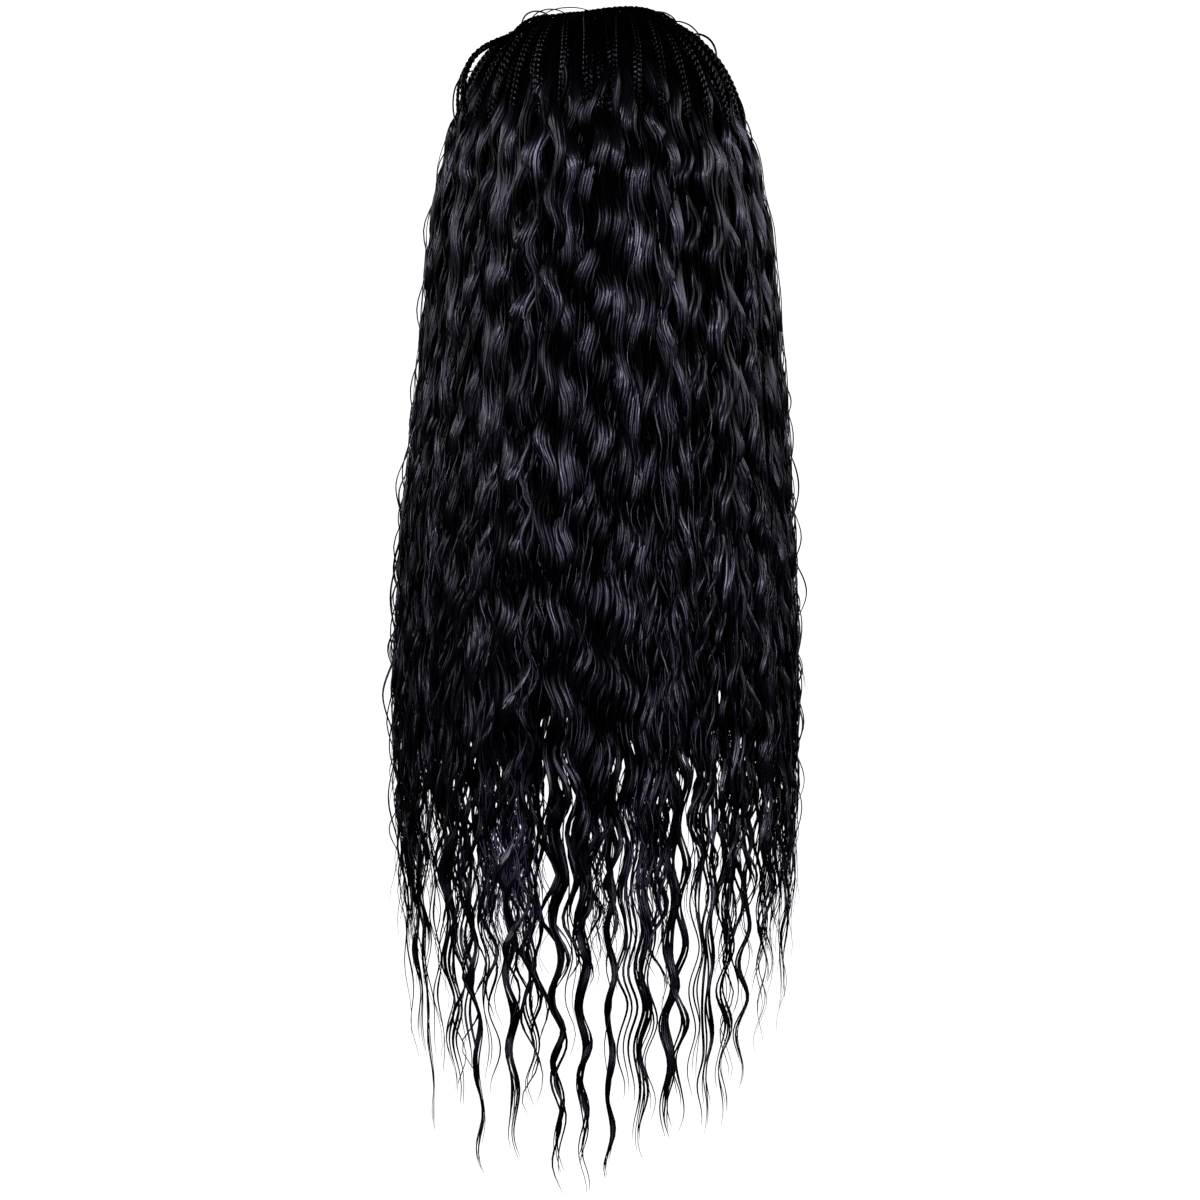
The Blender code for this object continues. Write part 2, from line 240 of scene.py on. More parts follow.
# How a strand changes along the hair, in metres and shares. Runs are from the head's widest line
# and rootRuns from the strand's own root; each pair is where a change begins and where it is whole.
strandForm = {
    "wanderRootRuns": (0.02, 0.20),
    "leanRuns": (0.0, 0.6),
    "looseRuns": (0.06, 0.40),
    "sinkRootRuns": (0.0, 0.035),
    "riseRuns": (-0.09, 0.0),
    "probe": (0.5, 0.001),  # degrees and metres, to find which way is sideways and which outwards
    "offCap": 0.0032,
    "headEnds": -0.005,
    "slipFrom": 0.03,
    "waveRootRuns": (0.0, 0.06),
    "swell": (0.28, 0.13, 1.7),  # share, length, turns of the warp's phase
    "partRuns": (0.10, 0.45),
    "wider": 0.75,
    "widerRuns": (0.15, 0.55),
    "looseTurn": 0.35,  # shares of the turning, the roundness and the tilt that loose hair loses
    "looseRound": 0.6,
    "looseTilt": 0.7,
    "turnRootRuns": (0.0, 0.04),
    "spreadRootRuns": (0.0, 0.05),
    "spreadAtRoot": 0.35,
    "widthRootRuns": (0.0, 0.03),
    "widthAtRoot": 0.3,
    "thinRuns": (0.05, 0.5),
    "tipPower": 0.7,
    "thickAtTip": 0.4,
    "leastHalf": 0.00012,
}


# Waved strands. A strand follows the hair's surface down from its root. Its lock swings
# sideways as a sine of the run and in and out as the cosine, and turns about its own middle,
# face on and edge on once a wave. Lower down the lock parts into clumps: a strand closes up
# to its clump's middle, and each clump's wave slips slowly out of step, so clumps cross.
# Towards the ends the locks gather in groups, and the waves of each group fall into step.
def wavedStrands(table, rings, section):
    form = strandForm

    def column(key):
        return table[key][:, None]

    def waveAlong(run, name):  # sin(2 pi run / length + phase), with the strand's own length and phase
        return np.sin(2 * np.pi * run / column(name + "Length") + column(name + "Phase"))

    share = np.linspace(0, 1, rings)[None, :]
    run = column("start") + (column("end") - column("start")) * share
    fromRoot = run - column("start")
    wander = column("wander") * waveAlong(run, "wander") * easeIn(fromRoot, *form["wanderRootRuns"])
    path = column("bearing") + wander + column("lean") * easeIn(run, *form["leanRuns"])
    path = path + column("gather") * gatherAt(column("bearing")) * easeIn(run, *endForm["gatherRuns"])
    loose = easeIn(run, *form["looseRuns"])
    across = column("across")
    depth = column("depth") + column("rootSink") * (1 - easeIn(fromRoot, *form["sinkRootRuns"]))
    depth = depth - column("rise") * (1 - easeIn(run, *form["riseRuns"]))
    headAngle = np.interp(run, meridianRuns, meridianAngles)
    toCap = np.interp(headAngle, headForm["angles"], headForm["offsets"]) - form["offCap"]
    toCap = toCap - column("halfThickness")
    depth = np.where(run < form["headEnds"], np.minimum(depth, toCap), depth)  # roots stay off the cap
    base = hairPoint(path, run, depth)
    aside, off = form["probe"]
    sideways = unit(hairPoint(path + aside, run, depth) - hairPoint(path - aside, run, depth))
    outwards = unit(hairPoint(path, run, depth - off) - base)

    def ownPhase(run):
        slipped = run + column("slip") * np.maximum(run - form["slipFrom"], 0)
        turned = 2 * np.pi * slipped / column("waveLength")
        return turned + column("phase") + column("warp") * waveAlong(run, "warp")

    def sharedPhase(run):  # the same for all hair of one bearing
        turn = 2 * np.pi * column("bearing")
        waves = [size * np.sin(turn / period) for size, period in endForm["phaseWaves"]]
        return 2 * np.pi * run / endForm["waveLength"] + sum(waves)

    phase = ownPhase(run)
    midRun = np.mean(endForm["togetherRuns"])
    turnsAway = np.round((ownPhase(midRun) - sharedPhase(midRun)) / (2 * np.pi))
    joined = column("together") * easeIn(run, *endForm["togetherRuns"])
    phase = phase + (sharedPhase(run) + 2 * np.pi * turnsAway - phase) * joined

    swell, swellLength, swellTurn = form["swell"]
    swelling = 1 + swell * np.sin(2 * np.pi * run / swellLength + column("warpPhase") * swellTurn)
    grown = easeIn(fromRoot, *form["waveRootRuns"]) * swelling
    parted = easeIn(run, *form["partRuns"])
    clumpAcross = column("clumpAcross")
    apart = clumpAcross * (1 + column("opening")) + (across - clumpAcross) * column("tight")
    wider = 1 + form["wider"] * easeIn(run, *form["widerRuns"])
    turned = column("turnMean") + column("turn") * np.sin(phase + column("turnPhase"))
    turned = turned * easeIn(fromRoot, *form["turnRootRuns"])
    turned = turned * (1 - form["looseTurn"] * loose)
    spread = form["spreadAtRoot"] + (1 - form["spreadAtRoot"]) * easeIn(fromRoot, *form["spreadRootRuns"])
    place = (across * (1 - parted) + apart * parted) * spread
    sunk = column("roundness") * across**2 * (1 - form["looseRound"] * loose)
    lateral = column("swing") * grown * wider * np.sin(phase) + place * np.cos(turned) + sunk * np.sin(turned)
    lateral = lateral + column("ripple") * loose * waveAlong(run, "ripple")
    wave = np.cos(phase + column("lag"))
    heave = column("heave") * grown * wave + place * np.sin(turned) - sunk * np.cos(turned)
    centres = base + sideways * lateral[..., None] + outwards * heave[..., None]
    twist = turned + column("facing") - column("tilt") * (1 - form["looseTilt"] * loose)
    side, out = squareFrame(centres, outwards, twist)

    toTip = np.clip((column("end") - run) / column("taper"), 0, 1)
    fromThin = form["widthAtRoot"] + (1 - form["widthAtRoot"]) * easeIn(fromRoot, *form["widthRootRuns"])
    width = fromThin * toTip ** form["tipPower"] * (1 + column("breath") * wave)
    thin = 1 - column("thinning") * easeIn(run, *form["thinRuns"])
    halfWidth = column("halfWidth") * width * thin + form["leastHalf"]
    thick = np.sqrt(toTip) * (form["thickAtTip"] + (1 - form["thickAtTip"]) * width)
    halfThickness = column("halfThickness") * thick + form["leastHalf"]
    paintedWaveShade = wave * easeIn(fromRoot, *form["turnRootRuns"])  # painted shade where the lock dips under its neighbours, painted light on its crests
    tones = column("toneAndShade") + column("paintedWaveShade") * paintedWaveShade + column("patches") * waveAlong(run, "patch")
    return tubes(centres, side, out, halfWidth, halfThickness, section, np.clip(tones, 0, 1))


# A hair material: fine streaks along the strand from noise stretched down the UV, in the
# colour, the roughness and the bump, with the highlight drawn out across the strand. The
# streak and the strand's tone, which holds painted shade and painted light, together say how
# light, smooth and bright it is; where they are low the glint is taken out, as painted shade.
def hairMaterial(name, look):
    made, nodes, links, shader = newMaterial(name)
    coord = nodes.new("ShaderNodeTexCoord")
    stretch = nodes.new("ShaderNodeMapping")
    setInputs(stretch, {"Scale": (look["streaksAcross"], look["streaksAlong"], 1)})
    links.new(coord.outputs["UV"], stretch.inputs["Vector"])
    streak = nodes.new("ShaderNodeTexNoise")
    setInputs(streak, {"Scale": 1.0, "Detail": look["streakDetail"], "Roughness": look["streakRough"]})
    links.new(stretch.outputs["Vector"], streak.inputs["Vector"])
    toneAndShade = nodes.new("ShaderNodeAttribute")
    toneAndShade.attribute_name = "toneAndShade"
    light = nodes.new("ShaderNodeMath")
    light.operation = "MULTIPLY_ADD"
    light.inputs[1].default_value = look["toneShare"]
    links.new(toneAndShade.outputs["Fac"], light.inputs[0])
    links.new(streak.outputs["Fac"], light.inputs[2])
    setInputs(shader, {"Anisotropic": look["anisotropic"], "Specular IOR Level": look["specular"]})

    def ramp(start, first, last, target):
        colours = nodes.new("ShaderNodeValToRGB")
        low, high = colours.color_ramp.elements
        low.position, high.position = start, 1.0
        low.color, high.color = (*first, 1), (*last, 1)
        links.new(light.outputs["Value"], colours.inputs["Fac"])
        links.new(colours.outputs["Color"], shader.inputs[target])

    ramp(look["lightFrom"], look["dark"], look["light"], "Base Color")
    ramp(look["glintFrom"], (0.0, 0.0, 0.0), look["tint"], "Specular Tint")  # painted shade: no glint where the tone is low, as in deep hair, wave valleys, lock edges and near the crown
    gloss = nodes.new("ShaderNodeMapRange")
    (low, high), (smooth, dull) = look["glossOver"], look["rough"]
    setInputs(gloss, {"From Min": low, "From Max": high, "To Min": dull, "To Max": smooth})
    links.new(light.outputs["Value"], gloss.inputs["Value"])
    links.new(gloss.outputs["Result"], shader.inputs["Roughness"])
    bump = nodes.new("ShaderNodeBump")
    setInputs(bump, {"Strength": look["bump"], "Distance": look["bumpDepth"]})
    links.new(streak.outputs["Fac"], bump.inputs["Height"])
    links.new(bump.outputs["Normal"], shader.inputs["Normal"])
    tangent = nodes.new("ShaderNodeTangent")
    tangent.direction_type = "UV_MAP"
    tangent.uv_map = "hairUv"
    links.new(tangent.outputs["Tangent"], shader.inputs["Tangent"])
    return made


waveLook = {
    "streaksAcross": 5.0,
    "streaksAlong": 14.0,
    "streakDetail": 2.0,
    "streakRough": 0.6,
    "toneShare": 0.55,
    "lightFrom": 0.38,
    "dark": (0.0002, 0.0002, 0.0003),
    "light": (0.0022, 0.0020, 0.0032),
    "glossOver": (0.45, 1.10),
    "rough": (0.29, 0.44),  # the light hair's, the dark hair's
    "bump": 0.15,
    "bumpDepth": 0.0005,
    "anisotropic": 0.75,
    "specular": 0.77,
    "tint": (0.84, 0.80, 1.0),
    "glintFrom": 0.58,
}
# The deeper hair: a darker, duller copy of the waved hair's material, painted shade
shadedDeepLook = dict(waveLook, light=(0.0008, 0.0007, 0.0011), rough=(0.30, 0.46), specular=0.30)
# The thick hair inside: darker and duller than the waves, painted shade; the combed coat takes its colours
shadedUnderLook = dict(
    waveLook,
    streaksAcross=26.0,
    light=(0.0012, 0.0010, 0.0016),
    rough=(0.45, 0.60),
    specular=0.12,
)
scalpLook = dict(shadedUnderLook, streaksAcross=240.0, rough=(0.50, 0.66), specular=0.06)
braidLook = dict(
    waveLook,
    streaksAcross=6.0,
    streaksAlong=60.0,
    light=(0.0005, 0.0004, 0.0007),
    rough=(0.13, 0.30),
    bump=0.20,
    anisotropic=0.0,
    specular=0.26,
    glintFrom=0.67,
)
# base colours far paler and more violet than the hair's own: painted light, for thin hair lit through from
# behind
paintedLitHazeLook = dict(waveLook, dark=(0.025, 0.019, 0.040), light=(0.070, 0.054, 0.110), specular=0.3)

waveMaterial = hairMaterial("wavedHair", waveLook)
paintedLitHazeMaterial = hairMaterial("paintedLitHazeHair", paintedLitHazeLook)
shadedDeepMaterial = hairMaterial("shadedDeepHair", shadedDeepLook)
shadedUnderMaterial = hairMaterial("shadedUnderHair", shadedUnderLook)
braidMaterial = hairMaterial("braidedHair", braidLook)
scalpMaterial = hairMaterial("combedHair", scalpLook)


netLook = {
    "holesPerMetre": 420,
    "threadEdges": (0.06, 0.22),  # of a hole, from the middle of its thread
    "thread": (0.020, 0.019, 0.022),
    "hole": (0.0035, 0.0033, 0.0040),
    "bump": 0.6,
    "bumpDepth": 0.0006,
    "rough": 0.75,
    "specular": 0.3,
}


# Knitted net: uneven cells, paler and raised along their borders
def netMaterial(name, look):
    made, nodes, links, shader = newMaterial(name)
    coord = nodes.new("ShaderNodeTexCoord")
    stretch = nodes.new("ShaderNodeMapping")
    setInputs(stretch, {"Scale": [look["holesPerMetre"]] * 3})
    links.new(coord.outputs["Object"], stretch.inputs["Vector"])
    holes = nodes.new("ShaderNodeTexVoronoi")
    holes.feature = "DISTANCE_TO_EDGE"
    setInputs(holes, {"Scale": 1.0})
    links.new(stretch.outputs["Vector"], holes.inputs["Vector"])
    ramp = nodes.new("ShaderNodeValToRGB")
    thread, hole = ramp.color_ramp.elements
    hole.position = look["threadEdges"][1]
    thread.position = look["threadEdges"][0]
    thread.color, hole.color = (*look["thread"], 1), (*look["hole"], 1)
    links.new(holes.outputs["Distance"], ramp.inputs["Fac"])
    links.new(ramp.outputs["Color"], shader.inputs["Base Color"])
    bump = nodes.new("ShaderNodeBump")
    bump.invert = True
    setInputs(bump, {"Strength": look["bump"], "Distance": look["bumpDepth"]})
    links.new(holes.outputs["Distance"], bump.inputs["Height"])
    links.new(bump.outputs["Normal"], shader.inputs["Normal"])
    setInputs(shader, {"Roughness": look["rough"], "Specular IOR Level": look["specular"]})
    return made


capMaterial = netMaterial("capNet", netLook)
print("materials made")


# Cap and combed coat: a shell from rings down the outside and back up the inside
def shellRings(bearings, edges, rows, outerOffset, innerOffset):
    shares = np.linspace(0, 1, rows)
    angle = poleAngle + (edges[None, :] - poleAngle) * shares[:, None]
    outside = headPoint(bearings[None, :], angle, outerOffset(angle, bearings[None, :]))
    inside = headPoint(bearings[None, :], angle[::-1], innerOffset)
    return np.concatenate([outside, inside])


# Closed skin through rings, with a pole point at both ends
def shell(name, rings, material):
    rows, around = rings.shape[:2]
    poles = np.stack([rings[0].mean(axis=0), rings[-1].mean(axis=0)])
    points = np.concatenate([rings.reshape(-1, 3), poles])
    r, s = np.arange(rows - 1)[:, None] * around, np.arange(around)[None, :]
    following = (s + 1) % around
    corners = [r + s, r + around + s, r + around + following, r + following]
    quads = np.stack(corners, axis=-1).reshape(-1, 4)
    steps = np.linalg.norm(np.diff(rings, axis=0), axis=2).mean(axis=1)
    length = np.concatenate([[0], np.cumsum(steps)])
    u0 = np.broadcast_to(s / around, (rows - 1, around))
    u1 = u0 + 1 / around
    v0, v1 = np.broadcast_to(length[:-1, None], u0.shape), np.broadcast_to(length[1:, None], u0.shape)
    quadUvs = cornerUvs((u0, v0), (u0, v1), (u1, v1), (u1, v0))
    s, following = s[0], following[0]
    firstPole, lastRing = rows * around, (rows - 1) * around
    top = np.stack([np.full(around, firstPole), s, following], axis=-1)
    foot = np.stack([np.full(around, firstPole + 1), lastRing + following, lastRing + s], axis=-1)
    tris = np.concatenate([top, foot])
    capUvs = np.stack([np.tile(s / around, 2), np.repeat([0, length[-1]], around)], axis=-1)
    triUvs = np.repeat(capUvs[:, None], 3, axis=1)
    tones = np.full(len(points), shellTone)
    smooth = np.ones(len(quads), dtype=bool)
    return meshFrom(name, points, quads, quadUvs, smooth, tris, triUvs, tones, material)


shellTone = 0.3
poleAngle = 2.0  # the first ring's, down from the crown

# The cap's edge: bearings from the middle of the back, and how far down from the crown
capForm = {
    "wall": 0.0015,
    "edgeBearings": (0, 50, 76, 92, 108, 122, 146, 180),
    "edgeAngles": (121, 117, 100, 95, 103, 92, 70, 62),
    "around": 112,
    "rows": 30,
    "softened": 7,  # bearings that the edge is evened out over
}
coatForm = {
    "atCrown": 0.0078,
    "atRim": 0.0125,
    "inside": 0.0026,
    "rimAngle": 74.0,
    "frontRise": 16.0,
    "frontBearings": (116, 168),
    "around": 168,
    "rows": 26,
    "combDepth": 0.0007,
    "combLines": 46,  # in a radian
    "combDrift": (3, 5),
    "combAngles": (6, 30),
}

bearings = np.linspace(-180, 180, capForm["around"], endpoint=False)
edges = np.interp(np.abs(bearings), capForm["edgeBearings"], capForm["edgeAngles"])
half, even = capForm["softened"] // 2, np.ones(capForm["softened"]) / capForm["softened"]
soft = np.convolve(np.concatenate([edges[-half:], edges, edges[:half]]), even, mode="valid")
rings = shellRings(bearings, soft, capForm["rows"], lambda angle, bearing: capForm["wall"], 0.0)
cap = shell("wig_cap_net", rings, capMaterial)
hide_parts("cap_crown", "cap_front", "cap_left", "cap_right", "cap_back")
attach(cap, "root")


# The coat grows thicker towards its rim as the square of the angle's share of the way there
def coatThickness(angle):
    share = np.clip(angle / coatForm["rimAngle"], 0, 1)
    return coatForm["atCrown"] + (coatForm["atRim"] - coatForm["atCrown"]) * share**2


# Grooves that run down the coat: a sine of the bearing whose lines drift apart and together
def combedOffset(angle, bearing):
    turn = np.radians(bearing)
    size, times = coatForm["combDrift"]
    comb = np.sin(turn * coatForm["combLines"] + size * np.sin(turn * times))
    groove = coatForm["combDepth"] * (0.5 + 0.5 * comb) * easeIn(angle, *coatForm["combAngles"])
    return coatThickness(angle) - groove


bearings = np.linspace(-180, 180, coatForm["around"], endpoint=False)
front = easeIn(np.abs(bearings), *coatForm["frontBearings"])
edges = coatForm["rimAngle"] - coatForm["frontRise"] * front
rings = shellRings(bearings, edges, coatForm["rows"], combedOffset, coatForm["inside"])
coat = shell("combed_coat", rings, scalpMaterial)
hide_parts("crown_hair")
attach(coat, "root")
print("cap and coat made")


# Braids: three bundles of hair that cross over in turn along a path on the head.
# Shares of the width are of the whole braid's.
braidForm = {
    "width": 0.0078,
    "crossings": 0.0041,
    "ringStep": 0.00135,
    "sides": 5,
    "endAngle": 77.6,
    "clearance": 0.0002,
    "middleUp": 0.40,
    "acrossSwing": 0.27,
    "outSwing": 0.150,
    "halfWidth": 0.245,
    "halfThickness": 0.225,
    "pitchFromWidth": 0.38,
    "endTaper": (0.55, 0.006),  # share at an end, length
    "liftFrom": 0.42,
    "liftPower": 1.25,
    "swayTimes": 5,
    "sways": (0.010, 6),  # the most sideways, and the range of its phase
    "shines": (0.0, 0.8),
    "underStray": 0.7,
    "samples": 60,
    "crownShadeReach": (0.28, 0.75),  # painted shade near the crown: on the flattened head, where the shine begins and is whole
    "shineWave": (0.3, 13, 3),
}

# One side's braids, as in the solids: start right and back as shares of the way down to the
# head's widest line, end bearing, width share
braidRows = (
    (0.036, 0.190, 4.5, 1.00),
    (0.104, 0.214, 14.5, 0.84),
    (0.172, 0.246, 25.0, 1.00),
    (0.236, 0.284, 36.0, 0.90),
    (0.314, 0.302, 47.5, 1.00),
    (0.036, 0.104, 60.0, 1.00),
    (0.036, 0.020, 72.5, 0.92),
    (0.036, -0.075, 85.0, 1.00),
    (0.036, -0.180, 97.0, 0.95),
    (0.036, -0.295, 108.0, 1.00),
    (0.036, -0.420, 118.0, 0.90),
    (0.036, -0.545, 127.5, 1.00),
)
# The two that arch off the left of the head: the same, with a lift before the width share
strayRows = (
    (-0.052, 0.064, -66.2, 0.0105, 0.78),
    (-0.052, -0.028, -78.8, 0.0085, 0.45),
)


# A braid's bundle runs as x = A sin(a), y = B sin(2a) about the path, and the three bundles
# are a third of a turn apart, so each passes over its neighbours in turn. The path is straight
# on the flattened head, with a sway of sway[0] sin(pi share) sin(5 share + sway[1]) and a lift
# in its lower part.
def plait(start, endBearing, widthShare, lift, endAngle, sway, shine=0.5, sink=0.0):
    form = braidForm
    endRadius = endAngle / 90
    endRight = endRadius * np.sin(np.radians(endBearing))
    endBack = endRadius * np.cos(np.radians(endBearing))

    def flatPlace(share):
        right = start[0] + (endRight - start[0]) * share
        return right, start[1] + (endBack - start[1]) * share

    def place(share, extra=0.0):
        right, back = flatPlace(share)
        right = right + sway[0] * np.sin(np.pi * share) * np.sin(form["swayTimes"] * share + sway[1])
        angle = 90 * np.hypot(right, back)
        lower = np.clip((share - form["liftFrom"]) / (1 - form["liftFrom"]), 0, 1)
        raised = lift * np.sin(np.pi * lower ** form["liftPower"])
        rise = coatThickness(angle) + form["clearance"] + raised + extra - sink
        return headPoint(np.degrees(np.arctan2(right, back)), angle, rise)

    share = np.linspace(0, 1, form["samples"])
    steps = np.linalg.norm(np.diff(place(share), axis=0), axis=1)
    length = np.concatenate([[0], np.cumsum(steps)])
    count = int(length[-1] / form["ringStep"])
    along = np.linspace(0, length[-1], count)
    share = np.interp(along, length, share)
    width = form["width"] * widthShare
    base = place(share)
    out = unit(place(share, 0.01) - base)
    side = np.cross(unit(np.gradient(base, axis=0)), out)
    middle = base + out * width * form["middleUp"]
    pitch = form["crossings"] * (1 - form["pitchFromWidth"] + form["pitchFromWidth"] * widthShare)
    turns = 2 * np.pi * along / (3 * pitch)
    thinEnd, taperLength = form["endTaper"]
    toEnd = np.minimum(along, length[-1] - along) / taperLength
    taper = np.minimum(1, thinEnd + (1 - thinEnd) * toEnd)
    depth, times, phase = form["shineWave"]
    patchy = 1 - depth + depth * np.sin(times * share + phase * sway[1])
    # painted shade near the crown, giving way lower down to the braid's random shine in random patches
    tones = shine * easeIn(np.hypot(*flatPlace(share)), *form["crownShadeReach"]) * patchy
    parts = []
    for i in range(3):
        angle = turns + 2 * np.pi * i / 3
        centres = middle + side * (form["acrossSwing"] * width * taper * np.sin(angle))[:, None]
        centres = centres + out * (form["outSwing"] * width * np.sin(2 * angle))[:, None]
        ringSide, ringOut = squareFrame(centres[None], out[None], np.zeros((1, count)))
        halfWidth = (form["halfWidth"] * width * taper)[None]
        halfThickness = (form["halfThickness"] * width * taper)[None]
        section = roundSection(form["sides"])
        parts.append(tubes(centres[None], ringSide, ringOut, halfWidth, halfThickness, section, tones[None]))
    return parts


# One piece from its tubes, with what it stands for; gives back its triangles
def addPiece(name, parts, material, slot, *replaced):
    made = meshFrom(name, *joinTubes(parts), material)
    if replaced:
        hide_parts(*replaced)
    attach(made, "root")
    return sum(len(part[1]) * 2 + len(part[4]) for part in parts)


rng = np.random.default_rng(7)
total = 0
mostSway, swayPhases = braidForm["sways"]
for sign, word in ((-1, "left"), (1, "right")):
    for i, (startRight, startBack, endBearing, widthShare) in enumerate(braidRows):
        sway = (rng.uniform(-mostSway, mostSway), rng.uniform(0, swayPhases))
        start = (sign * startRight, startBack)
        underStray = sign < 0 and i in (5, 6)  # these two lie under the stray ones
        width = widthShare * (braidForm["underStray"] if underStray else 1.0)
        shine = rng.uniform(*braidForm["shines"])
        parts = plait(start, sign * endBearing, width, 0.0, braidForm["endAngle"], sway, shine)
        solid = f"braid_{word}_{i + 1}"
        total += addPiece(f"plait_{word}_{i + 1}", parts, braidMaterial, "braided_hair", solid)
for i, (startRight, startBack, endBearing, lift, widthShare) in enumerate(strayRows):
    parts = plait((startRight, startBack), endBearing, widthShare, lift, braidForm["endAngle"], (0, 0))
    total += addPiece(f"stray_plait_{i + 1}", parts, braidMaterial, "braided_hair", f"stray_braid_{i + 1}")


# Thinner braids in the gaps: one down the middle of the back, some between the rows of each
# side, one along each side of the parting and some across it
thinForm = {
    "middle": ((0.0, 0.135), 0.3, 0.78, 0.0, 76.0, (0.004, 1.0), 0.6),  # in the order that plait takes
    "share": 0.5,
    "startShare": 0.24,  # of the way down the braids beside it
    "widths": (0.50, 0.68),
    "endAngles": (62, 79),
    "shines": (0.0, 0.7),
    "bearingStray": 0.8,
    "mostSway": 0.008,
    "partingRight": 0.020,
    "partingBack": (-0.62, 0.15),
    "partingSink": 0.0022,
    "partingWidth": 0.60,
    "partingSway": (0.004, 2.0),
    "partingShine": 0.1,
    "crossingSway": (0.012, 6),  # its phase grows with the width
    "crossingShine": 0.9,
}
crossingPlaits = (
    # start right and back, end bearing and angle, width share, lift
    ((-0.30, 0.150), 65.0, 27.0, 0.62, 0.0046),
    ((-0.28, 0.060), 84.0, 29.0, 0.54, 0.0052),
    ((-0.12, 0.200), 40.0, 31.0, 0.52, 0.0010),
    ((0.24, -0.100), -80.0, 33.0, 0.54, 0.0040),
    ((0.20, -0.300), -118.0, 36.0, 0.52, 0.0020),
)


# Where a row's braid is, a share of the way from its start to its end
def alongRow(row, share):
    endRadius, turn = braidForm["endAngle"] / 90, np.radians(row[2])
    start, end = np.array(row[:2]), endRadius * np.array([np.sin(turn), np.cos(turn)])
    return start + (end - start) * share


for sign, word in ((-1, "left"), (1, "right")):
    parts = []
    if word == "right":
        parts += plait(*thinForm["middle"])
        size, phase = thinForm["crossingSway"]
        for start, bearing, angle, width, lift in crossingPlaits:
            sway = (size, phase * width)
            parts += plait(start, bearing, width, lift, angle, sway, thinForm["crossingShine"])
    right, (front, back) = sign * thinForm["partingRight"], thinForm["partingBack"]
    bearing, angle = np.degrees(np.arctan2(right, back)), 90 * np.hypot(right, back)
    size, phase = thinForm["partingSway"]
    width, shine, sink = thinForm["partingWidth"], thinForm["partingShine"], thinForm["partingSink"]
    parts += plait((right, front), bearing, width, 0.0, angle, (size * sign, phase), shine, sink)
    for nearer, farther in zip(braidRows[:-1], braidRows[1:]):
        start = (alongRow(nearer, thinForm["startShare"]) + alongRow(farther, thinForm["startShare"])) / 2
        stray, mostSway = thinForm["bearingStray"], thinForm["mostSway"]
        bearing = (nearer[2] + farther[2]) / 2 + rng.uniform(-stray, stray)
        sway = (rng.uniform(-mostSway, mostSway), rng.uniform(0, swayPhases))
        width = rng.uniform(*thinForm["widths"])
        endAngle = rng.uniform(*thinForm["endAngles"])
        shine = rng.uniform(*thinForm["shines"])
        if rng.uniform() < thinForm["share"]:
            parts += plait((sign * start[0], start[1]), sign * bearing, width, 0.0, endAngle, sway, shine)
    total += addPiece(f"thin_plaits_{word}", parts, braidMaterial, "braided_hair")

# Loose strands that arch off the crown and the sides: start and end right and back as
# shares of the way down to the head's widest line, lift and half width
looseRows = (
    ((-0.30, 0.05), (-0.16, 0.12), 0.0050, 0.00060),
    ((-0.26, 0.10), (-0.08, 0.05), 0.0040, 0.00045),
    ((-0.22, 0.02), (-0.02, 0.16), 0.0030, 0.00040),
    ((0.12, 0.05), (0.30, 0.10), 0.0038, 0.00050),
    ((0.24, 0.10), (0.44, 0.06), 0.0030, 0.00055),
    ((0.36, 0.04), (0.56, 0.16), 0.0036, 0.00080),
    ((-0.60, 0.10), (-0.86, 0.30), 0.0075, 0.00060),
    ((0.80, 0.06), (1.00, 0.10), 0.0040, 0.00055),
    ((0.70, 0.12), (0.92, 0.20), 0.0020, 0.00070),
)
looseForm = {
    "rings": 40,
    "offCoat": 0.0042,
    "endSink": 0.003,
    "wobble": (0.005, 9, 40),
    "endWidth": 0.5,
    "toneAndShade": 0.4,
}


# A loose strand runs nearly straight on the flattened head, stands off it by lift sin(pi share),
# and both its ends dip into the hair
def looseStrands(rows):
    starts, ends, lifts, widths = (np.array(values) for values in zip(*rows))
    share = np.linspace(0, 1, looseForm["rings"])[None, :]
    right = starts[:, 0:1] + (ends[:, 0:1] - starts[:, 0:1]) * share
    back = starts[:, 1:2] + (ends[:, 1:2] - starts[:, 1:2]) * share
    size, times, phase = looseForm["wobble"]
    back = back + size * np.sin(times * share + phase * starts[:, 0:1])
    angle = np.minimum(90 * np.hypot(right, back), 90)
    fromMiddle = 2 * share - 1
    lift = lifts[:, None] * np.sin(np.pi * share) - looseForm["endSink"] * fromMiddle**6
    rise = coatThickness(angle) + looseForm["offCoat"] + lift
    bearing = np.degrees(np.arctan2(right, back))
    centres = headPoint(bearing, angle, rise)
    out = unit(headPoint(bearing, angle, rise + 0.01) - centres)
    side, out = squareFrame(centres, out, np.zeros(angle.shape))
    width = widths[:, None] * (1 - (1 - looseForm["endWidth"]) * fromMiddle**4)
    tones = np.full(len(rows), looseForm["toneAndShade"])
    return [tubes(centres, side, out, width, width, roundSection(5), tones)]


total += addPiece("loose_strands", looseStrands(looseRows), waveMaterial, "waved_hair")
print("braids made:", total, "triangles")


# Hanging hair, in panels round the wig: name, first and last bearing in degrees
panels = (
    ("waves_left", -123.0, -73.8),
    ("waves_back_left", -73.8, -24.6),
    ("waves_back", -24.6, 24.6),
    ("waves_back_right", 24.6, 73.8),
    ("waves_right", 73.8, 123.0),
)

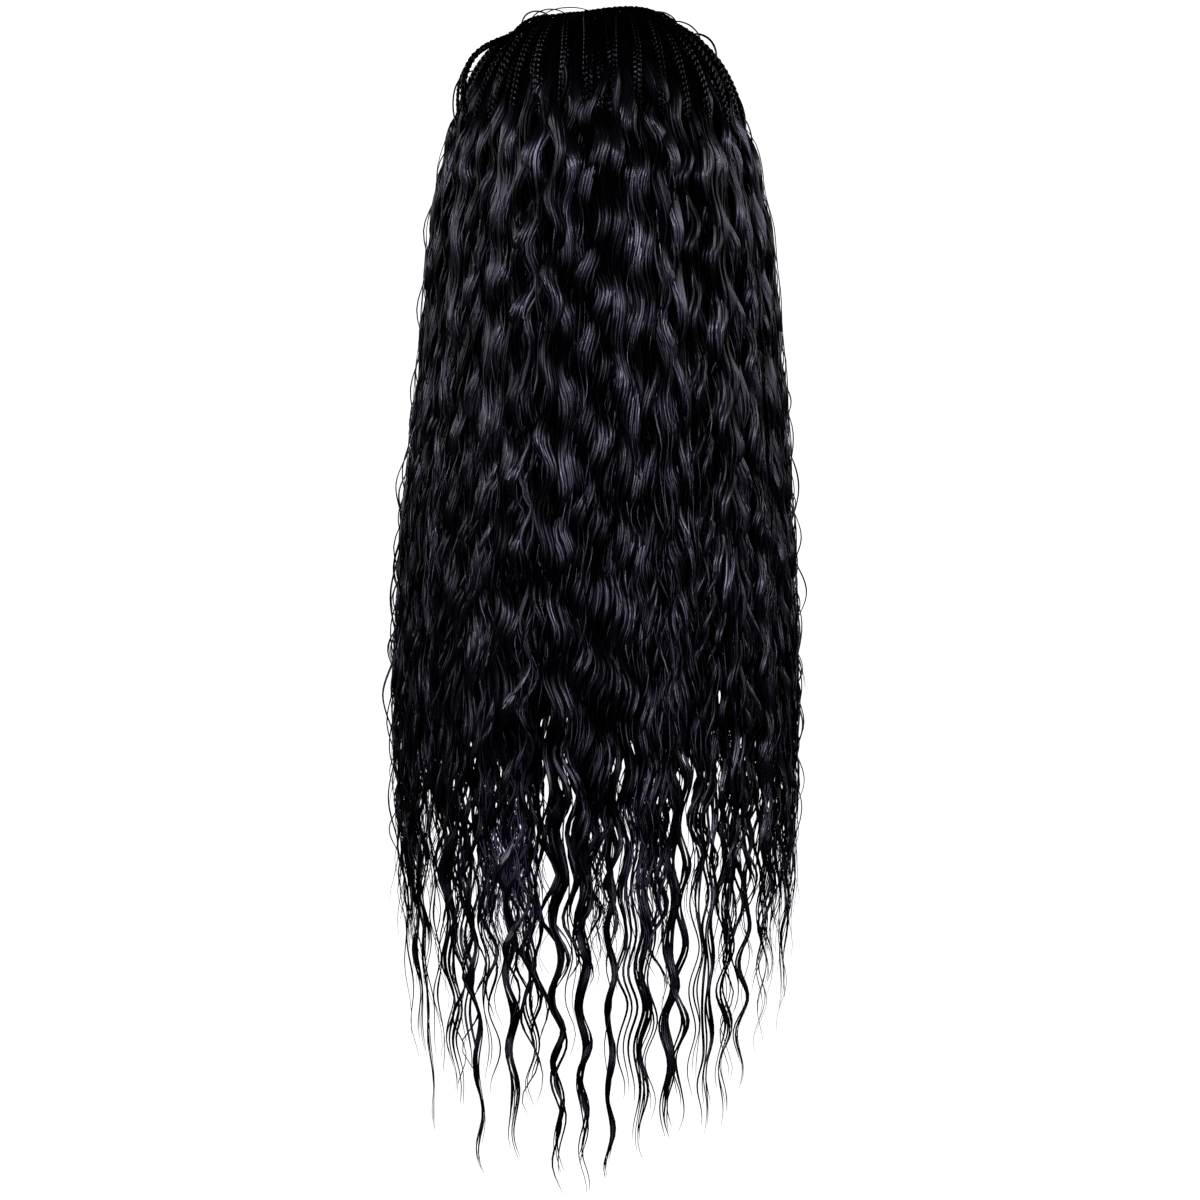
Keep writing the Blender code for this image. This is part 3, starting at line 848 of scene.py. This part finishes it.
# Height of the longest tips by bearing, and the share of strands that are still there at each
# drop below the head's widest line, for the longest tips. Lower down the locks gather in
# groups: gathers holds how wide in degrees, the period and the phase. Their waves fall into
# step with one wave whose phase changes with the bearing: phaseWaves holds size and period.
endForm = {
    "bearings": (-123, -90, -45, 0, 45, 90, 123),
    "tips": (-0.640, -0.668, -0.700, -0.712, -0.694, -0.655, -0.615),
    "drops": (0.26, 0.33, 0.38, 0.42, 0.446, 0.471, 0.497, 0.522, 0.547, 0.572, 0.60, 0.632),
    "shares": (1.0, 0.95, 0.87, 0.75, 0.63, 0.50, 0.36, 0.20, 0.10, 0.03, 0.01, 0.0),
    "gathers": ((1.15, 13.0, 1.0), (1.35, 21.0, 4.0)),
    "gatherRuns": (0.24, 0.46),
    "waveLength": 0.052,
    "phaseWaves": ((2.2, 29.0), (1.2, 12.0)),
    "togetherRuns": (0.18, 0.42),
}


def tipRun(bearing):
    return -headForm["height"] - np.interp(bearing, endForm["bearings"], endForm["tips"])


# Locks drift together in groups low down, sideways by the sum of wide sin(2 pi bearing / period + phase)
def gatherAt(bearing):
    turn = 2 * np.pi * bearing
    return sum(wide * np.sin(turn / period + phase) for wide, period, phase in endForm["gathers"])


# How far strands, clumps and locks differ where the form of a layer of hair doesn't say
scatterForm = {
    "across": (0.10, 1.15),  # how far a strand is off its place in the lock, and the farthest out
    "lastBearing": 122.5,
    "startAngle": 2.0,
    "endPower": 1.5,  # above 1, so that more strands end near the lock's tip than above it
    "clumpDepth": 0.0005,
    "strandDepth": 0.0003,
    "wanderLength": (0.16, 0.34),
    "warp": (0.1, 0.45),
    "warpLength": (0.10, 0.22),
    "strandPhase": 0.12,
    "strandSwing": (0.9, 1.1),
    "rippleLength": (0.022, 0.060),
    "lag": 0.9,
    "strandTone": 0.08,
    "patchLength": (0.09, 0.20),
}


# Random settings of many strands, gathered in locks that start side by side and part lower down
def lockTable(rng, first, last, form):
    scatter = scatterForm
    locks = max(1, round((last - first) / form["pitch"]))
    middle = first + (last - first) * (np.arange(locks) + 0.5) / locks
    middle = middle + rng.uniform(-1, 1, locks) * form["jitter"] * form["pitch"]
    each = form["strands"]
    many = locks * each
    spread = np.tile(np.linspace(-1, 1, each) if each > 1 else np.zeros(1), locks)
    stray, farthest = scatter["across"]
    spread = np.clip(spread + rng.normal(0, stray, many) * (each > 1), -farthest, farthest)
    clumps = form["clumps"]
    clump = np.repeat(np.arange(locks), each) * clumps + np.tile(np.arange(each) * clumps // each, locks)
    clumpMiddle = (np.bincount(clump, spread) / np.bincount(clump))[clump]

    def perLock(low, high):
        return np.repeat(rng.uniform(low, high, locks), each)

    def perClump(low, high):
        return rng.uniform(low, high, locks * clumps)[clump]

    def perStrand(low, high):
        return rng.uniform(low, high, many)

    def lockPhase():
        return perLock(0, 2 * np.pi)

    bearing = np.clip(np.repeat(middle, each), -scatter["lastBearing"], scatter["lastBearing"])
    hand = np.repeat(rng.choice([-1.0, 1.0], locks), each)
    startAngle = perLock(*form["startAngles"]) + perStrand(-scatter["startAngle"], scatter["startAngle"])
    score = form["lockShare"] * perLock(0, 1) + (1 - form["lockShare"]) * perClump(0, 1)
    rank = (np.argsort(np.argsort(score)) + 0.5) / many
    drop = np.interp(rank, endForm["shares"][::-1], endForm["drops"][::-1])
    nearTop, longest = endForm["drops"][0], endForm["drops"][-1]
    end = nearTop + (drop - nearTop) * (tipRun(bearing) - nearTop) / (longest - nearTop)
    end = np.maximum(end - form["shorter"], form["least"])
    end = end - form["stagger"] * perStrand(0, 1) ** scatter["endPower"]
    halfLock = perLock(*form["halfLock"])
    ownClump, ownStrand = scatter["clumpDepth"], scatter["strandDepth"]
    ownPhase, ownTone, lag = scatter["strandPhase"], scatter["strandTone"], scatter["lag"]
    return {
        "bearing": bearing,
        "start": runAtAngle(startAngle) + perStrand(*form["startDrop"]),
        "end": end,
        "across": spread * halfLock,
        "clumpAcross": clumpMiddle * halfLock,
        "tight": perClump(*form["tight"]),
        "tilt": spread * form["tilt"],
        "roundness": form["bulge"] / np.maximum(halfLock, 1e-4) ** 2,
        "opening": perLock(*form["opening"]),
        "depth": perLock(*form["depth"]) + perClump(-ownClump, ownClump) + perStrand(-ownStrand, ownStrand),
        "rootSink": perLock(*form["rootSink"]),
        "rise": np.full(many, form["rise"]),
        "wander": perLock(*form["wander"]),
        "wanderLength": perLock(*scatter["wanderLength"]),
        "wanderPhase": lockPhase(),
        "lean": perClump(-1, 1) * form["lean"],
        "gather": np.full(many, form["gather"]),
        "together": perClump(*form["together"]),
        "waveLength": perLock(*form["waveLength"]),
        "slip": perClump(-1, 1) * form["slip"] + perStrand(-1, 1) * form["slip"] * form["strandSlip"],
        "warp": perLock(*scatter["warp"]),
        "warpLength": perLock(*scatter["warpLength"]),
        "warpPhase": lockPhase(),
        "phase": lockPhase() + perStrand(-ownPhase, ownPhase),
        "swing": perLock(*form["swing"]) * perStrand(*scatter["strandSwing"]),
        "heave": perLock(*form["heave"]) * perStrand(*scatter["strandSwing"]),
        "ripple": perStrand(0, form["ripple"]),
        "rippleLength": perStrand(*scatter["rippleLength"]),
        "ripplePhase": perStrand(0, 2 * np.pi),
        "lag": perLock(-lag, lag) + np.repeat(rng.choice([0.0, np.pi], locks), each),
        "turnMean": perLock(*form["turnMean"]) * hand,
        "turn": perLock(*form["turn"]) * hand,
        "turnPhase": lockPhase(),
        "facing": np.full(many, form["facing"]),
        "taper": perStrand(*form["taper"]),
        "breath": perLock(*form["breath"]),
        "thinning": perStrand(*form["thinning"]),
        "halfWidth": perStrand(*form["halfWidth"]),
        "halfThickness": perStrand(*form["halfThickness"]),
        # random tone, with painted shade towards the two edges of the lock
        "toneAndShade": perLock(*form["tones"]) + perStrand(-ownTone, ownTone) - form["paintedEdgeShade"] * spread**2,
        "paintedWaveShade": perLock(*form["paintedWaveShade"]),
        "patches": perLock(*form["patches"]),
        "patchLength": perLock(*scatter["patchLength"]),
        "patchPhase": lockPhase(),
    }


# The waves that show: locks of narrow strands, rounded over at first and loose lower down
waveForm = {
    "rings": 108,
    "pitch": 5.4,
    "strands": 10,
    "halfLock": (0.0046, 0.0066),
    "bulge": 0.0030,
    "tilt": 0.65,
    "clumps": 3,
    "opening": (0.0, 0.9),
    "tight": (0.15, 0.45),
    "startAngles": (38, 75),
    "startDrop": (0.0, 0.0),
    "depth": (0.0015, 0.0040),
    "rise": 0.0003,
    "jitter": 0.35,
    "rootSink": (0.003, 0.007),
    "wander": (0.2, 1.2),
    "lean": 0.4,
    "gather": 1.0,
    "together": (0.55, 0.95),
    "waveLength": (0.044, 0.052),
    "slip": 0.034,
    "strandSlip": 0.12,
    "swing": (0.0018, 0.0030),
    "heave": (0.0013, 0.0021),
    "ripple": 0.0007,
    "turnMean": (0.10, 0.45),
    "turn": (0.15, 0.45),
    "facing": 0.0,
    "taper": (0.035, 0.09),
    "breath": (0.05, 0.20),
    "thinning": (0.0, 0.30),
    "halfWidth": (0.0008, 0.0014),
    "halfThickness": (0.00020, 0.00038),
    "tones": (0.15, 0.56),
    # painted shade along the edges of each lock, growing as the square of the way out
    "paintedEdgeShade": 0.28,
    # how much painted light on the crests and painted shade in the valleys
    "paintedWaveShade": (0.28, 0.50),
    "patches": (0.06, 0.32),
    "lockShare": 0.5,
    "shorter": 0.0,
    "least": 0.2,
    "stagger": 0.03,
}
deepForm = dict(
    waveForm,
    rings=80,
    pitch=4.4,
    strands=7,
    halfLock=(0.0055, 0.0075),
    bulge=0.0020,
    tilt=0.7,
    depth=(0.0065, 0.0090),
    turnMean=(0.0, 0.3),
    turn=(0.2, 0.5),
    startAngles=(52, 76),
    # lower tones than the waves, for more painted shade on the deeper hair
    tones=(0.0, 0.45),
)
fineForm = dict(
    waveForm,
    rings=70,
    pitch=4.6,
    strands=4,
    clumps=4,
    halfLock=(0.003, 0.008),
    bulge=0.0,
    tilt=0.2,
    depth=(0.0006, 0.0060),
    startDrop=(0.0, 0.30),
    swing=(0.0010, 0.0022),
    heave=(0.0008, 0.0018),
    halfWidth=(0.00025, 0.00055),
    halfThickness=(0.0002, 0.0004),
    wander=(0.4, 1.6),
    slip=0.024,
    ripple=0.0012,
    lockShare=0.2,
    shorter=-0.01,
)

# The thick dark hair under the waves, and its inner face
underForm = dict(
    waveForm,
    rings=54,
    pitch=4.1,
    strands=1,
    clumps=1,
    least=0.385,
    jitter=0.12,
    startAngles=(72, 76),
    depth=(0.0148, 0.0168),
    rootSink=(0.001, 0.003),
    wander=(0.3, 1.0),
    lean=0.6,
    swing=(0.0025, 0.0040),
    heave=(0.0015, 0.0026),
    turnMean=(0.0, 0.0),
    turn=(0.0, 0.2),
    taper=(0.05, 0.09),
    breath=(0.0, 0.1),
    thinning=(0.0, 0.15),
    halfWidth=(0.0078, 0.0098),
    halfThickness=(0.0028, 0.0036),
    tilt=0.0,
    shorter=0.12,
)
innerForm = dict(
    waveForm,
    rings=60,
    pitch=5.0,
    strands=5,
    clumps=2,
    least=0.39,
    opening=(0.0, 0.3),
    tight=(0.5, 0.8),
    startAngles=(79, 84),
    halfLock=(0.0055, 0.0075),
    bulge=-0.0030,
    tilt=-0.8,
    facing=np.pi,
    depth=(0.0185, 0.0215),
    rootSink=(0.0, 0.001),
    halfWidth=(0.0011, 0.0017),
    tones=(0.0, 0.7),
    shorter=0.10,
)

# Photo: 0.65 mm a pixel, its middle row 368.5 mm under the crown
cameraForm = {"lens": 135.0, "sensor": 36.0, "frameWidth": 0.78, "height": -0.3685}
cameraDistance = cameraForm["frameWidth"] * cameraForm["lens"] / cameraForm["sensor"]

# The long locks whose tips show on the white: millimetres right and up of each tip in the
# photo's plane, and how many strands gather in it
tipChart = (
    (-122, -658, 6), (-113, -701, 6), (-106, -672, 3), (-95, -684, 5), (-88, -667, 4), (-81, -729, 9),
    (-72, -690, 3), (-57, -722, 6), (-44, -694, 3), (-28, -750, 2), (-27, -730, 5), (-12, -723, 6),
    (-10, -742, 4), (6, -740, 9), (17, -700, 3), (27, -721, 5), (31, -696, 4), (46, -706, 6),
    (52, -709, 4), (62, -690, 3), (71, -708, 5), (83, -706, 5), (94, -677, 5), (104, -650, 3),
    (111, -605, 6), (120, -622, 7),
)
tipForm = dict(
    waveForm,
    rings=100,
    strands=1,
    clumps=1,
    startAngles=(90, 90),
    startDrop=(0.10, 0.22),
    depth=(0.0040, 0.0090),
    rootSink=(0.004, 0.007),
    tight=(0.20, 0.70),
    halfWidth=(0.0005, 0.0010),
    thinning=(0.0, 0.1),
    taper=(0.035, 0.08),
    lean=0.0,
    gather=0.0,
    together=(0.45, 0.95),
    slip=0.010,
    swing=(0.0011, 0.0022),
)


chartForm = {
    "halfWidth": 121,  # of the hair near its ends, in millimetres as in the chart
    "nearer": 0.115,  # how far the hair's back is in front of the photo's plane
    "pitch": 6.0,
    "below": 0.012,
    "stagger": 0.035,
    "warp": 2,
    "wander": 0.3,
}


# The random settings of one lock that ends at a charted tip. Hair that is nearer to the
# camera than the photo's plane looks bigger about the frame's middle height.
def tipTable(rng, right, up, count):
    bearing = np.degrees(np.arcsin(np.clip(right / chartForm["halfWidth"], -0.99, 0.99)))
    nearer = cameraDistance / (cameraDistance - chartForm["nearer"] * np.cos(np.radians(bearing)))
    middle, half = cameraForm["height"], chartForm["pitch"] / 2
    drop = -headForm["height"] - middle - (up / 1000 - middle) / nearer
    form = dict(tipForm, pitch=chartForm["pitch"], strands=count)
    table = lockTable(rng, bearing - half, bearing + half, form)
    many = len(table["bearing"])
    table["bearing"] = np.full(many, bearing)
    shares = rng.uniform(0, 1, many) ** scatterForm["endPower"]
    table["end"] = drop + chartForm["below"] - chartForm["stagger"] * shares
    table["warp"] = table["warp"] * chartForm["warp"]
    table["wander"] = table["wander"] * chartForm["wander"]
    return table


# Very fine hair that shows as a pale haze between the locks near the middle, its paleness painted light
hazeForm = dict(
    fineForm,
    rings=36,
    pitch=1.0,
    strands=6,
    clumps=6,
    startAngles=(90, 90),
    startDrop=(0.34, 0.40),
    gather=0.0,
    depth=(0.004, 0.014),
    shorter=0.30,
    least=0.50,
    stagger=0.07,
    halfWidth=(0.00020, 0.00040),
    halfThickness=(0.00010, 0.00020),
    taper=(0.04, 0.08),
)
hazeSpans = ((-38, -20), (-4, 0), (10, 17))

# A few waved locks that stand off the two sides and break the outline
edgeForm = dict(
    fineForm,
    rings=90,
    pitch=6.0,
    strands=3,
    clumps=2,
    halfLock=(0.0008, 0.0020),
    startAngles=(86, 90),
    startDrop=(0.04, 0.28),
    depth=(-0.0014, 0.0018),
    rootSink=(0.006, 0.009),
    swing=(0.0016, 0.0030),
    heave=(0.0026, 0.0042),
    waveLength=(0.052, 0.068),
    together=(0.0, 0.4),
    halfWidth=(0.0004, 0.0009),
    least=0.32,
    shorter=0.02,
)
edgeSpans = ((-101, -81), (81, 101))


# Strands of one layer of hair, from its first bearing to its last
def layerStrands(rng, first, last, form, section=leafSection):
    return wavedStrands(lockTable(rng, first, last, form), form["rings"], section)


layers = (
    ("under", underForm, shadedUnderMaterial, roundSection(6)),
    ("inner", innerForm, shadedDeepMaterial, leafSection),
    ("locks_of", waveForm, waveMaterial, leafSection),
    ("deep", deepForm, shadedDeepMaterial, leafSection),
    ("fine", fineForm, waveMaterial, leafSection),
)
for i, (node, first, last) in enumerate(panels):
    rng = np.random.default_rng(100 + i)
    count = 0
    for layer, form, material, section in layers:
        strands = [layerStrands(rng, first, last, form, section)]
        count += addPiece(f"{layer}_{node}", strands, material, "waved_hair", node)
    total += count
    print(f"{node} dressed: {count} triangles")

rng = np.random.default_rng(200)
tips = [wavedStrands(tipTable(rng, *row), tipForm["rings"], leafSection) for row in tipChart]
total += addPiece("tip_locks", tips, waveMaterial, "waved_hair")
haze = [layerStrands(rng, first, last, hazeForm) for first, last in hazeSpans]
total += addPiece("haze", haze, paintedLitHazeMaterial, "waved_hair")
edges = [layerStrands(rng, first, last, edgeForm) for first, last in edgeSpans]
total += addPiece("edge_locks", edges, waveMaterial, "waved_hair")
print("hair in all:", total, "triangles")


# Stage, seen by the camera only
stageForm = {
    "floorHeight": -1.45,
    "backdropAt": 5.0,
    "backdropHeight": 6.0,
    "bend": 1.6,
    "bendRows": 24,
    "halfWidth": 9.0,
    "pale": (0.90, 0.90, 0.91),
    "rough": 0.9,
    "glow": 1.0,
}


# Floor and backdrop in one sweep: straight floor, quarter circle, straight wall
def sweepStage():
    bend, radius = np.linspace(0, np.pi / 2, stageForm["bendRows"]), stageForm["bend"]
    wallFoot = stageForm["backdropAt"] - radius
    profile = np.concatenate([
        [[-stageForm["halfWidth"], 0.0]],
        np.stack([wallFoot + radius * np.sin(bend), radius * (1 - np.cos(bend))], axis=-1),
        [[stageForm["backdropAt"], stageForm["backdropHeight"]]],
    ])
    across = np.array([-1, 1]) * stageForm["halfWidth"]
    x = np.broadcast_to(across[None, :], (len(profile), 2))
    y = np.broadcast_to(profile[:, 0:1], x.shape)
    z = np.broadcast_to(profile[:, 1:2] + stageForm["floorHeight"], x.shape)
    points = np.stack([x, y, z], axis=-1).reshape(-1, 3)
    rows = np.arange(len(profile) - 1)[:, None] * 2
    quads = (rows + np.array([[0, 1, 3, 2]])).reshape(-1, 4)
    mesh = bpy.data.meshes.new("paleStage")
    mesh.from_pydata(points.tolist(), [], quads.tolist())
    made = placed("paleStage", mesh)
    material, *_, shader = newMaterial("paleStage")
    setInputs(shader, {"Base Color": (*stageForm["pale"], 1), "Roughness": stageForm["rough"]})
    setInputs(shader, {"Specular IOR Level": 0.0})
    setInputs(shader, {"Emission Color": (1, 1, 1, 1), "Emission Strength": stageForm["glow"]})
    mesh.materials.append(material)
    made.visible_diffuse = False  # seen by the camera only, so that the hair stays deep black
    made.visible_glossy = False


sweepStage()

lamps = (
    # name, place, size, watts, colour
    ("keyLeft", (-0.95, -2.10, 0.55), 0.60, 35, (0.92, 0.89, 1.0)),
    ("keyRight", (1.05, -2.00, 0.48), 0.60, 29, (0.93, 0.90, 1.0)),
    ("sideLeft", (-2.10, 0.60, 0.50), 0.90, 16, (0.96, 0.95, 1.0)),
    ("sideRight", (2.10, 0.60, 0.50), 0.90, 16, (0.96, 0.95, 1.0)),
    ("faceSide", (0.00, 2.30, 0.20), 1.00, 26, (0.96, 0.95, 1.0)),
    ("lowBack", (0.25, -2.30, -0.55), 0.70, 18, (0.88, 0.85, 1.0)),
)
target = np.array([0.0, 0.0, -0.34])
for name, place, size, watts, colour in lamps:
    light = bpy.data.lights.new(name, "AREA")
    light.shape = "SQUARE"
    light.size = size
    light.energy = watts
    light.color = colour
    made = placed(name, light)
    made.location = place
    aim = target - np.array(place)
    pitch = np.arctan2(np.hypot(aim[0], aim[1]), -aim[2])
    made.rotation_euler = (pitch, 0, np.arctan2(aim[1], aim[0]) - np.pi / 2)
    made.visible_camera = False

# White room for the camera, and only a little of it on the hair
roomForm = {"onHair": 0.004, "forCamera": 1.0}

world = bpy.data.worlds.new("paleRoom")
world.use_nodes = True
nodes, links = world.node_tree.nodes, world.node_tree.links
sky = nodes["Background"]
setInputs(sky, {"Color": (1, 1, 1, 1)})
path = nodes.new("ShaderNodeLightPath")
strength = nodes.new("ShaderNodeMapRange")
setInputs(strength, {"To Min": roomForm["onHair"], "To Max": roomForm["forCamera"]})
links.new(path.outputs["Is Camera Ray"], strength.inputs["Value"])
links.new(strength.outputs["Result"], sky.inputs["Strength"])
bpy.context.scene.world = world

camera = bpy.data.cameras.new("backView")
camera.lens = cameraForm["lens"]
camera.sensor_width = cameraForm["sensor"]
eye = placed("backView", camera)
eye.location = (0, -cameraDistance, cameraForm["height"])
eye.rotation_euler = (np.pi / 2, 0, 0)
bpy.context.scene.camera = eye
bpy.context.scene.view_settings.view_transform = "Standard"
print("stage, lamps and camera set")
